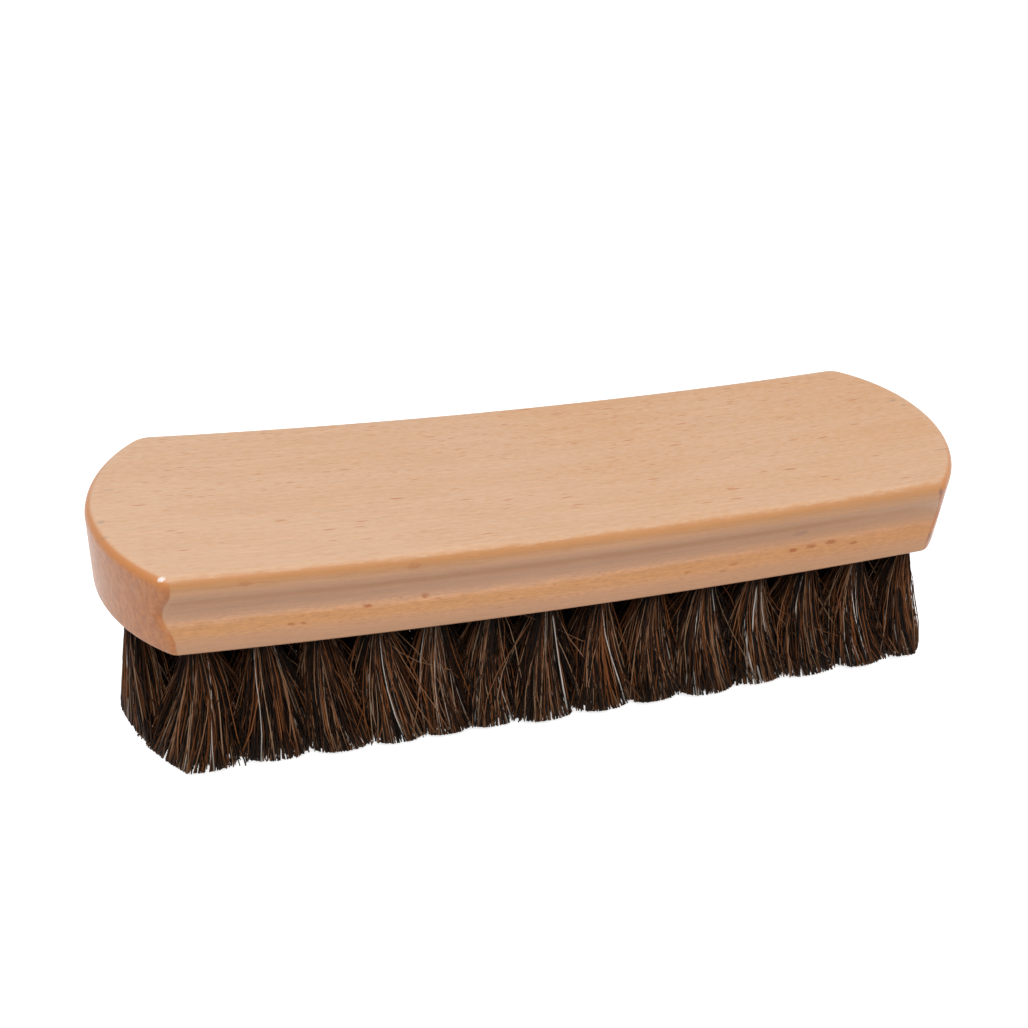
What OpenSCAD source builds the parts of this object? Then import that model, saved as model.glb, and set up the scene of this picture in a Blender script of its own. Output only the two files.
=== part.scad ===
// Shoe shine brush: a bent beech block with five rows of stapled horsehair tufts.
// Origin on the floor under the middle of the bristles, X along the brush, Z up.

/* [Block] */
// Length over the rounded ends
block_len = 170; // [155:1:200]
// Width across the long sides
block_w = 47.4; // [44:0.2:56]
// Thickness, square to the bend
block_thick = 16.4; // [15:0.2:22]
// How far the ends stand above the middle
block_sag = 2.6; // [1:0.1:5]
// Radius of each rounded end, seen from above
end_r = 31.7; // [30:0.1:45]
// Width of the flat that softens the corner where a long side turns into an end
corner_flat = 1.4; // [0.5:0.1:3]
// Rounding along the top edge
edge_r = 2; // [1:0.1:3]
// Rounding along the bottom edge
foot_r = 1.2; // [0.6:0.1:2]
// How far the foot of an end stands out past its top edge
end_lean = 0.4; // [0:0.1:0.8]

/* [Finger grooves] */
// Depth of the groove along each long side
groove_depth = 1.5; // [0.5:0.1:2.5]
// Height of the groove
groove_h = 11; // [8:0.5:11.5]

/* [Tufts] */
// Tufts in each outer row and in the middle row
outer_tufts = 14; // [10:1:15]
// Tufts in the second and the fourth row
inner_tufts = 15; // [11:1:15]
// From the block's end to the first tuft of an outer row
outer_end_gap = 14.5; // [14:0.5:20]
// From the block's end to the first tuft of the second and the fourth row
inner_end_gap = 7; // [6.5:0.5:12]
// From the block's side to the outer row
side_gap = 5.7; // [5:0.1:7]
// How far the outer rows are moved towards the right end
outer_shift = 1.7; // [0:0.1:2]
// Diameter of a tuft's hole
hole_d = 4.5; // [4:0.1:5.5]
// Depth of a tuft's hole
hole_depth = 9; // [7:0.5:9.5]
// Outward tilt that each row adds to the one inside it, in degrees
row_splay = 4; // [0:0.5:5]

/* [Hair] */
// Length of the hair below the middle of the block
hair_len = 24; // [18:0.5:30]
// How much higher the hair is trimmed at the ends
trim_rise = 1.5; // [0:0.1:3]
// How much of the lowest tips is cut flat to stand on
stand_cut = 0.5; // [0.3:0.1:1]
// Locks round the middle one of a tuft
ring_locks = 5; // [4:1:6]
// Half width of a lock where it leaves the wood
lock_root = 0.65; // [0.4:0.05:0.7]
// Half width of a lock at its tip
lock_tip = 1.1; // [0.6:0.05:1.2]
// Least room between the locks of two tufts at the tips
lock_room = 0.3; // [0.2:0.1:1]

/* [Staples] */
// Thickness of the staple wire
wire = 0.6; // [0.4:0.1:0.8]
// Width of a staple over its legs
staple_w = 3.4; // [2.8:0.1:3.6]
// How far the hair reaches past the crown it is folded round
fold = 2; // [1.5:0.1:3]
// How far the legs go into the wood above the hole
leg_bite = 4; // [2:0.5:4.5]

/* [Fits] */
// Room all round the hair in its hole
hair_fit = 0.05; // [0.02:0.01:0.2]
// Room all round the staple wire
wire_fit = 0.05; // [0.02:0.01:0.15]

/* [Hidden] */
OUTER = 1;
ROWS = 5;
MIDDLE = (ROWS + 1) / 2;
PAIR = 2;
round_fn = 32;
bend_fn = 720;
over = 1;             // how far a cutter runs past what it cuts

// The bend: top and underside share one axis, which lies across the brush above it.
half_len = block_len / 2;
top_r = (half_len * half_len + block_sag * block_sag) / (2 * block_sag);
under_r = top_r + block_thick;
under_z = hair_len - stand_cut;
axis_z = under_z + under_r;
bend_angle = 2 * asin((half_len + 4 * over) / top_r);

// The ends are turned round axes that lean with the bend a little inside the tips.
lean_x = half_len - 3 * edge_r;
end_tilt = asin(lean_x / top_r);
end_draft = block_thick * sin(end_tilt) - end_lean;
end_centre = half_len - end_r - lean_x;
top_over = 0.02;      // the end's flat top stays this far clear of the bent top
proud = 0.05;         // the roundings stand this far past the end's wall
corner_x = half_len - end_r + sqrt(end_r * end_r - block_w * block_w / 4);
corner_turn = (90 + asin(block_w / 2 / end_r)) / 2;
corner_cut = corner_flat / 2 * tan(90 - corner_turn);

groove_mid = block_thick / 2;

// Rows are counted from the front, tufts from the left.
row_pitch = (block_w - 2 * side_gap) / (ROWS - 1);
inner_pitch = (block_len - 2 * inner_end_gap) / (inner_tufts - 1);
outer_pitch = (block_len - 2 * outer_end_gap) / (outer_tufts - 1);
plug_r = hole_d / 2 - hair_fit;
staple_half = staple_w / 2;
// Locks stand on a ring that opens from the hole to the tips.
ring_root = plug_r - lock_root - 0.1;
tip_pitch = min(inner_pitch, outer_pitch) * (under_r + hair_len) / under_r;
ring_tip = tip_pitch / 2 - lock_tip - lock_room / 2;
flare = 1.4;          // how late the locks open: 1 is straight

function is_outer(row) = row == OUTER || row == ROWS;
function is_even(row) = row % 2 == 0;
function tufts_in(row) = is_even(row) ? inner_tufts : outer_tufts;
function pitch_of(row) = is_outer(row) ? outer_pitch : inner_pitch;
function shift_of(row) = is_outer(row) ? outer_shift : 0;
function tuft_x(row, i) = shift_of(row) + pitch_of(row) * (i - (tufts_in(row) + 1) / 2);
function tuft_y(row) = row_pitch * (row - MIDDLE);
function tuft_splay(row) = row_splay * (row - MIDDLE);
function tuft_bend(row, i) = asin(tuft_x(row, i) / under_r);

// Where a tuft leaves the wood, and its own right, back and outward directions.
function root(row, i) = [tuft_x(row, i), tuft_y(row), axis_z - under_r * cos(tuft_bend(row, i))];
function out_dir(a, s) = [cos(s) * sin(a), sin(s), -cos(s) * cos(a)];
function right_dir(a) = [cos(a), 0, sin(a)];
function back_dir(a, s) = [-sin(s) * sin(a), cos(s), sin(s) * cos(a)];

// Height of the trimmed tips: a shallow bowl, cut flat where it would pass the floor.
function trim_z(x) = max(0, trim_rise * pow(x / half_len, 2) - stand_cut);

// Outer and middle row tufts at the ends are nodes of their own, hidden ones go in pairs.
function spans(row) = is_outer(row)
    ? [for (i = [1 : tufts_in(row)]) [i, i]]
    : concat([[1, 1]],
             [for (i = [2 : PAIR : tufts_in(row) - 1]) [i, min(i + PAIR - 1, tufts_in(row) - 1)]],
             [[tufts_in(row), tufts_in(row)]]);
function two(n) = n < 10 ? str("0", n) : str(n);
function span_name(row, s) = s[0] == s[1]
    ? str("tuft_r", row, "_", two(s[0]))
    : str("tufts_r", row, "_", two(s[0]), "_", two(s[1]));

// Block

function arc(centre, r, from, steps = 6) =
    [for (k = [0 : steps]) let (a = from - 90 * k / steps) centre + r * [cos(a), sin(a)]];

// One side of the section, as distance from the bend's axis and place across. The finger
// groove is one smooth wave.
groove_steps = 12;
side = concat(
    arc([top_r + edge_r, block_w / 2 - edge_r], edge_r, 180),
    [for (k = [0 : groove_steps]) let (t = k / groove_steps)
        [top_r + groove_mid + groove_h * (t - 0.5), block_w / 2 - groove_depth * (1 - cos(360 * t)) / 2]],
    arc([under_r - foot_r, block_w / 2 - foot_r], foot_r, 90));

// The long block before its ends are shaped, bent along the brush.
module bar() {
    translate([0, 0, axis_z]) rotate([-90, 90, 0]) rotate([0, 0, -bend_angle / 2])
        rotate_extrude(angle = bend_angle, $fn = bend_fn)
            polygon(concat(side, [for (k = [len(side) - 1 : -1 : 0]) [side[k][0], -side[k][1]]]));
}

// A round end with its rounded edges, hanging from its own origin.
module end_round() {
    foot_x = end_r - end_draft;
    rotate_extrude($fn = 4 * round_fn) intersection() {
        union() {
            polygon([[0, top_over - edge_r], [end_r - proud, top_over - edge_r],
                     [foot_x - proud, foot_r - block_thick], [0, foot_r - block_thick]]);
            translate([0, -block_thick]) square([end_r - edge_r, block_thick + top_over]);
            translate([end_r - edge_r, top_over - edge_r]) circle(edge_r, $fn = 2 * round_fn);
            translate([foot_x - foot_r, foot_r - block_thick - top_over]) circle(foot_r, $fn = 2 * round_fn);
        }
        translate([0, -block_thick - over]) square([end_r + over, block_thick + 2 * over]);
    }
}

// What bounds the block towards its right end.
module end_shape() {
    wide = sqrt(pow(end_r - edge_r, 2) - block_w * block_w / 4) - 0.3;
    translate([0, 0, axis_z]) rotate([0, -end_tilt, 0]) translate([0, 0, -top_r]) {
        translate([end_centre, 0, 0]) end_round();
        translate([end_centre - end_r, -block_w, -block_thick - over])
            cube([end_r + wide, 2 * block_w, block_thick + 2 * over]);
    }
}

// The block before it is drilled.
module blank() {
    middle = half_len - end_r;
    difference() {
        intersection() {
            bar();
            union() {
                translate([-middle, -block_w, under_z - over]) cube([2 * middle, 2 * block_w, 2 * block_thick]);
                end_shape();
                mirror([1, 0, 0]) end_shape();
            }
        }
        for (a = [0, 1]) for (b = [0, 1]) mirror([a, 0, 0]) mirror([0, b, 0])
            translate([corner_x, block_w / 2, under_z - over]) rotate([0, 0, corner_turn])
                translate([-corner_cut, -end_r / 4, 0]) cube([end_r / 4, end_r / 2, 2 * block_thick]);
    }
}

// Puts a child at a tuft's root: its Z runs up the hole, its X along the brush.
module at_tuft(row, i) {
    translate([0, 0, axis_z]) rotate([0, -tuft_bend(row, i), 0]) translate([0, tuft_y(row), -under_r])
        rotate([tuft_splay(row), 0, 0]) children();
}

module each_tuft() {
    for (row = [1 : ROWS]) for (i = [1 : tufts_in(row)]) at_tuft(row, i) children();
}

module block() {
    leg_slot = wire + 2 * wire_fit;
    color("burlywood") difference() {
        blank();
        each_tuft() {
            translate([0, 0, -over]) cylinder(h = hole_depth + over, d = hole_d, $fn = round_fn);
            for (s = [-1, 1])
                translate([-leg_slot / 2, s * (staple_half - wire / 2) - leg_slot / 2, hole_depth - over])
                    cube([leg_slot, leg_slot, over + leg_bite + wire_fit]);
        }
    }
}

// Staples

crown_z = hole_depth - hair_fit - fold;

// One staple across the tuft: the crown below, the legs up into the wood.
module staple() {
    translate([-wire / 2, 0, 0]) rotate([90, 0, 90]) linear_extrude(wire) polygon([
        [-staple_half, crown_z], [staple_half, crown_z],
        [staple_half, hole_depth + leg_bite], [staple_half - wire, hole_depth + leg_bite],
        [staple_half - wire, crown_z + wire], [wire - staple_half, crown_z + wire],
        [wire - staple_half, hole_depth + leg_bite], [-staple_half, hole_depth + leg_bite]]);
}

module staples() {
    color("silver") each_tuft() staple();
}

// Tufts

// The folded butt of a tuft, slotted for the crown below the fold and for the legs beside it.
module plug() {
    slot = wire + 2 * wire_fit;
    inside = staple_half - wire - wire_fit;
    difference() {
        translate([0, 0, -hair_fit]) cylinder(h = hole_depth, r = plug_r, $fn = round_fn);
        translate([-slot / 2, 0, 0]) rotate([90, 0, 90]) linear_extrude(slot) polygon([
            [-hole_d, crown_z - wire_fit], [hole_d, crown_z - wire_fit],
            [hole_d, hole_depth + over], [inside, hole_depth + over],
            [inside, crown_z + wire + wire_fit], [-inside, crown_z + wire + wire_fit],
            [-inside, hole_depth + over], [-hole_d, hole_depth + over]]);
    }
}

// A lock of hair: three rings of three points, closed at both ends. The tip follows the trim.
module lock(row, i, turn, ring_from, ring_to, root_w) {
    bend = tuft_bend(row, i);
    splay = tuft_splay(row);
    start = root(row, i);
    out = out_dir(bend, splay);
    right = right_dir(bend);
    back = back_dir(bend, splay);
    inside = 0.6;      // the lock starts this deep in the butt
    half = 0.5;
    reach = (start[2] - trim_z(start[0])) / -out[2];
    function around(a, r) = r * cos(a) * right + r * sin(a) * back;
    function ring(base, r, w) =
        [for (k = [0 : 2]) base + around(turn, r) + around(turn + 120 * k, w)];
    function to_trim(p) = [p[0], p[1], trim_z(p[0])];
    rings = concat(
        ring(start - inside * out, ring_from, root_w),
        ring(start + half * reach * out, ring_from + (ring_to - ring_from) * pow(half, flare), lock_tip),
        [for (p = ring(start + reach * out, ring_to, lock_tip)) to_trim(p)]);
    sides = [for (n = [0, 3]) for (k = [0 : 2]) let (m = (k + 1) % 3)
        each [[n + k, n + m, n + 3 + m], [n + k, n + 3 + m, n + 3 + k]]];
    polyhedron(rings, concat([[2, 1, 0]], sides, [[6, 7, 8]]));
}

module tuft(row, i) {
    first = 37 * i + 23 * row;      // turns each tuft's ring of locks a little further
    at_tuft(row, i) plug();
    lock(row, i, first, 0, 0, lock_root * 0.9);
    for (k = [1 : ring_locks]) lock(row, i, first + 360 * k / ring_locks, ring_root, ring_tip, lock_root);
}

module tufts(row, s) {
    color("saddlebrown") for (i = [s[0] : s[1]]) tuft(row, i);
}

block();
staples();
for (row = [1 : ROWS]) for (s = spans(row)) tufts(row, s);
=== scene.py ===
"""Looks of a shoe shine brush: a bent beech block, drilled and filled with stapled horsehair tufts."""

import logging
import math
from dataclasses import dataclass
from enum import Enum
from functools import reduce
from typing import Any, Iterable, Sequence

import bmesh
import bpy
import numpy as np
from bpy.types import Material, Node, NodeSocket, NodeTree, Object
from mathutils import Matrix, Vector, kdtree

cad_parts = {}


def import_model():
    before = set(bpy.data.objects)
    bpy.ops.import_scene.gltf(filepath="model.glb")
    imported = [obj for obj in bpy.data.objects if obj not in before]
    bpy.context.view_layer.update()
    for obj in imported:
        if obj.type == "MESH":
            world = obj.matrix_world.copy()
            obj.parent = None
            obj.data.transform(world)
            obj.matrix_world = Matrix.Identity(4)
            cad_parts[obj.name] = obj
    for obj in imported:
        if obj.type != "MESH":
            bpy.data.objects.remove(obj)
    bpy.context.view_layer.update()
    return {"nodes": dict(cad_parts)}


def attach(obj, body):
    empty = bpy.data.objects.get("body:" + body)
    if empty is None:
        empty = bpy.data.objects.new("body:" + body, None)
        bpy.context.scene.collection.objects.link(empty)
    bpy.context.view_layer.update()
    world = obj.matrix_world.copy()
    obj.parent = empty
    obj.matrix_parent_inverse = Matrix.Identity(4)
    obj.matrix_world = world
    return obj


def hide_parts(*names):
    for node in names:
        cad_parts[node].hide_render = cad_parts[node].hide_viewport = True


LOG = logging.getLogger("brush")
MM = 0.001
GOLDEN_ANGLE = 2.399
Array = np.ndarray
Socket = Any
Triple = tuple[float, float, float]
Colour = Triple
Hairs = tuple[Array, Array, Array]


def deselect() -> None:
    """Leaves edit mode and clears the selection."""
    if bpy.context.object and bpy.context.object.mode != "OBJECT":
        bpy.ops.object.mode_set(mode="OBJECT")
    bpy.ops.object.select_all(action="DESELECT")


def make_active(piece: Object) -> None:
    """Selects one object alone."""
    deselect()
    piece.select_set(True)
    bpy.context.view_layer.objects.active = piece


def face_outward() -> None:
    """Turns the active mesh's faces outward and leaves edit mode."""
    bpy.ops.object.mode_set(mode="EDIT")
    bpy.ops.mesh.select_all(action="SELECT")
    bpy.ops.mesh.normals_make_consistent(inside=False)
    bpy.ops.object.mode_set(mode="OBJECT")


def settle(
    piece: Object, name: str, material: Material, nodes: Sequence[str]
) -> None:
    """Names a finished piece, dresses it and puts it in the frame.

    Args:
        piece: The object, at the origin with its place in its mesh.
        name: Its name in the table.
        material: What it wears.
        nodes: The solids it stands for.
    """
    piece.name = name
    piece.data.name = name
    piece.data.materials.clear()
    piece.data.materials.append(material)
    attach(piece, "root")
    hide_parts(*nodes)
    LOG.info("%s: %d faces, stands for %s", name, len(piece.data.polygons), ", ".join(nodes))


class Row(Enum):
    """The five rows of tufts, counted from the front."""

    FRONT = 1
    SECOND = 2
    MIDDLE = 3
    FOURTH = 4
    BACK = 5

    @property
    def outer(self) -> bool:
        """Whether the row runs along a side of the block."""
        return self in (Row.FRONT, Row.BACK)

    @property
    def even(self) -> bool:
        """Whether the row is one of the two longer ones."""
        return self in (Row.SECOND, Row.FOURTH)


@dataclass(frozen=True)
class Bend:
    """The arc that the block and the rows of tufts follow, in millimetres.

    A place on the unbent brush is (along, across, depth below the top).
    """

    length: float = 170.0
    sag: float = 2.6
    thick: float = 16.4
    under_z: float = 23.5

    @property
    def top_r(self) -> float:
        """Radius of the top face."""
        half = self.length / 2
        return (half * half + self.sag * self.sag) / (2 * self.sag)

    @property
    def under_r(self) -> float:
        """Radius of the underside."""
        return self.top_r + self.thick

    @property
    def axis_z(self) -> float:
        """Height of the arc's axis."""
        return self.under_z + self.under_r

    @property
    def tip(self) -> float:
        """Distance along the top from the middle to an end."""
        return self.top_r * math.asin(self.length / 2 / self.top_r)

    def bent(self, flat: Array) -> Array:
        """Bends places on the straight brush.

        Args:
            flat: Rows of (along, across, depth).

        Returns:
            Rows of (x, y, z) in millimetres.
        """
        angle = flat[:, 0] / self.top_r
        radius = self.top_r + flat[:, 2]
        return np.stack([radius * np.sin(angle), flat[:, 1], self.axis_z - radius * np.cos(angle)], 1)


@dataclass(frozen=True)
class Drilling:
    """Where the tuft holes are and which way they point, in millimetres and degrees."""

    bend: Bend = Bend()
    width: float = 47.4
    outer_tufts: int = 14
    inner_tufts: int = 15
    outer_end_gap: float = 14.5
    inner_end_gap: float = 7.0
    side_gap: float = 5.7
    outer_shift: float = 1.7
    hole_d: float = 4.5
    hole_depth: float = 9.0
    row_splay: float = 4.0

    def count(self, row: Row) -> int:
        """How many tufts a row has."""
        return self.inner_tufts if row.even else self.outer_tufts

    def root(self, row: Row, i: int) -> tuple[Array, Array]:
        """One tuft's place and directions.

        Args:
            row: The row.
            i: The tuft's number from the left, from 1.

        Returns:
            Where its middle leaves the wood, and a matrix whose columns point right, back and out.
        """
        if row.outer:
            shift, gap, tufts = self.outer_shift, self.outer_end_gap, self.outer_tufts
        else:
            shift, gap, tufts = 0.0, self.inner_end_gap, self.inner_tufts
        pitch = (self.bend.length - 2 * gap) / (tufts - 1)
        from_middle = row.value - Row.MIDDLE.value
        x = shift + pitch * (i - (self.count(row) + 1) / 2)
        y = (self.width - 2 * self.side_gap) / (len(Row) - 1) * from_middle
        a = math.asin(x / self.bend.under_r)
        s = math.radians(self.row_splay * from_middle)
        right = (math.cos(a), 0.0, math.sin(a))
        back = (-math.sin(s) * math.sin(a), math.cos(s), math.sin(s) * math.cos(a))
        out = (math.cos(s) * math.sin(a), math.sin(s), -math.cos(s) * math.cos(a))
        place = np.array([x, y, self.bend.axis_z - self.bend.under_r * math.cos(a)])
        return place, np.array([right, back, out]).T

    def spans(self, row: Row) -> list[tuple[int, int]]:
        """Splits a row in the same pieces as the solids.

        Args:
            row: The row.

        Returns:
            The first and last tuft of each piece.
        """
        n = self.count(row)
        if row.outer:
            return [(i, i) for i in range(1, n + 1)]
        return [(1, 1)] + [(i, min(i + 1, n - 1)) for i in range(2, n, 2)] + [(n, n)]


class NodeWriter:
    """Writes shader nodes into one tree."""

    def __init__(self, tree: NodeTree) -> None:
        """Starts in an empty tree."""
        self.tree = tree

    def add(self, kind: str, inputs: dict[str, Any] | None = None, **settings: Any) -> Node:
        """Adds one node.

        Args:
            kind: Its type without the ShaderNode prefix, or a group's name after "group:".
            inputs: Values or sockets for its inputs, by name or by number.
            settings: Its properties.

        Returns:
            The node.
        """
        if kind.startswith("group:"):
            node = self.tree.nodes.new("ShaderNodeGroup")
            node.node_tree = bpy.data.node_groups[kind[6:]]
        else:
            node = self.tree.nodes.new("ShaderNode" + kind)
        for name, value in settings.items():
            setattr(node, name, value)
        self.fill(node, inputs or {})
        return node

    def fill(self, node: Node, inputs: dict[Any, Any]) -> None:
        """Feeds a node's inputs, by name or by number."""
        for name, value in inputs.items():
            self.feed(node.inputs[name], value)

    def feed(self, socket: Socket, value: Any) -> None:
        """Feeds one input.

        Args:
            socket: The input.
            value: A socket to link, or a value to set.
        """
        if isinstance(value, NodeSocket):
            self.tree.links.new(value, socket)
        elif isinstance(value, tuple) and len(value) == 3 and socket.type == "RGBA":
            socket.default_value = (*value, 1.0)
        else:
            socket.default_value = value

    def math(self, operation: str, a: Any, b: Any = 0.0, c: Any = 0.0, clamp: bool = False) -> Socket:
        """One Math node's value."""
        node = self.tree.nodes.new("ShaderNodeMath")
        node.operation, node.use_clamp = operation, clamp
        for socket, value in zip(node.inputs, (a, b, c)):
            self.feed(socket, value)
        return node.outputs[0]

    def times(self, *values: Any) -> Socket:
        """The product of some values, from the left."""
        return reduce(lambda a, b: self.math("MULTIPLY", a, b), values)

    def plus(self, *values: Any) -> Socket:
        """The sum of some values, from the left."""
        return reduce(lambda a, b: self.math("ADD", a, b), values)

    def between(self, share: Any, low: float, high: float) -> Socket:
        """A value that runs from low where the share is 0 to high where it is 1."""
        return self.math("MULTIPLY_ADD", share, high - low, low)

    def inverse(self, mask: Any) -> Socket:
        """One minus a mask."""
        return self.math("SUBTRACT", 1.0, mask)

    def vector(self, operation: str, a: Any, b: Any = (0.0, 0.0, 0.0), scale: Any = 1.0) -> Socket:
        """One Vector Math node.

        Args:
            operation: What it does.
            a: Its first value.
            b: Its second value.
            scale: The factor, where it scales.

        Returns:
            Its vector, or its value where it measures a length.
        """
        node = self.tree.nodes.new("ShaderNodeVectorMath")
        node.operation = operation
        self.feed(node.inputs[0], a)
        if operation == "SCALE":
            self.feed(node.inputs["Scale"], scale)
        else:
            self.feed(node.inputs[1], b)
        return node.outputs["Value" if operation == "LENGTH" else "Vector"]

    def smooth(
        self, value: Any, low: float, high: float, to_low: float = 0.0, to_high: float = 1.0
    ) -> Socket:
        """A smooth step from to_low at low to to_high at high."""
        ends = {0: value, 1: low, 2: high, 3: to_low, 4: to_high}
        return self.add("MapRange", ends, interpolation_type="SMOOTHSTEP").outputs[0]

    def mix(self, share: Any, a: Any, b: Any, blend: str = "MIX") -> Socket:
        """A colour mix."""
        node = self.tree.nodes.new("ShaderNodeMix")
        node.data_type, node.blend_type = "RGBA", blend
        self.fill(node, {0: share, 6: a, 7: b})
        return node.outputs[2]

    def shade(self, colour: Socket, tone: Socket) -> Socket:
        """A colour made lighter or darker by a tone."""
        grey = self.add("CombineColor", {0: tone, 1: tone, 2: tone}).outputs[0]
        return self.mix(1.0, colour, grey, "MULTIPLY")

    def ramp(self, value: Any, stops: Iterable[tuple[float, Colour]]) -> Socket:
        """A colour ramp.

        Args:
            value: What it reads.
            stops: Places and colours in order.

        Returns:
            The colour.
        """
        node = self.add("ValToRGB", {0: value})
        elements = node.color_ramp.elements
        for k, (place, colour) in enumerate(stops):
            stop = elements[k] if k < 2 else elements.new(place)
            stop.position, stop.color = place, (*colour, 1.0)
        return node.outputs[0]

    def noise(
        self, at: Socket, scale: float = 1.0, detail: float = 2.0, rough: float = 0.5, output: str = "Fac"
    ) -> Socket:
        """A noise texture's value or colour."""
        inputs = {"Vector": at, "Scale": scale, "Detail": detail, "Roughness": rough}
        return self.add("TexNoise", inputs).outputs[output]

    def grained(
        self, at: Socket, size: Triple, shift: float = 0.0, detail: float = 2.0, rough: float = 0.5
    ) -> Socket:
        """Noise in cells of a size in millimetres."""
        inputs = {"Vector": at, "Location": (shift, shift, shift), "Scale": tuple(1 / s for s in size)}
        return self.noise(self.add("Mapping", inputs).outputs[0], 1.0, detail, rough)

    def slanted(self, at: Socket, degrees: Triple, scale: Triple) -> Socket:
        """Coordinates turned and stretched."""
        turn = tuple(math.radians(a) for a in degrees)
        return self.add("Mapping", {"Vector": at, "Rotation": turn, "Scale": scale}).outputs[0]

    def wobble(self, at: Socket, scale: float) -> Socket:
        """A noise vector round zero."""
        return self.vector("SUBTRACT", self.noise(at, scale, output="Color"), (0.5, 0.5, 0.5))


def new_group(name: str, inputs: dict[str, str], outputs: dict[str, str]) -> tuple[NodeWriter, Any, Any]:
    """Starts a shader node group.

    Args:
        name: The group's name.
        inputs: Socket types by name.
        outputs: Socket types by name.

    Returns:
        A writer in its tree, its input sockets and its output node's inputs.
    """
    tree = bpy.data.node_groups.new(name, "ShaderNodeTree")
    for sockets, way in ((inputs, "INPUT"), (outputs, "OUTPUT")):
        for label, kind in sockets.items():
            tree.interface.new_socket(name=label, in_out=way, socket_type="NodeSocket" + kind)
    writer = NodeWriter(tree)
    start, end = tree.nodes.new("NodeGroupInput"), tree.nodes.new("NodeGroupOutput")
    return writer, start.outputs, end.inputs


def new_material(name: str) -> tuple[Material, NodeWriter, Node]:
    """Starts a material.

    Args:
        name: The material's name.

    Returns:
        The material, a writer in its tree and its Principled shader.
    """
    material = bpy.data.materials.new(name)
    material.use_nodes = True
    return material, NodeWriter(material.node_tree), material.node_tree.nodes["Principled BSDF"]


@dataclass(frozen=True)
class Mark:
    """One small spot painted on the wood, a flaw or a painted highlight: its place and half size in
    millimetres, and its colour.
    """

    along: float
    across: float
    depth: float
    size: Triple
    colour: Colour
    strength: float


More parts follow.
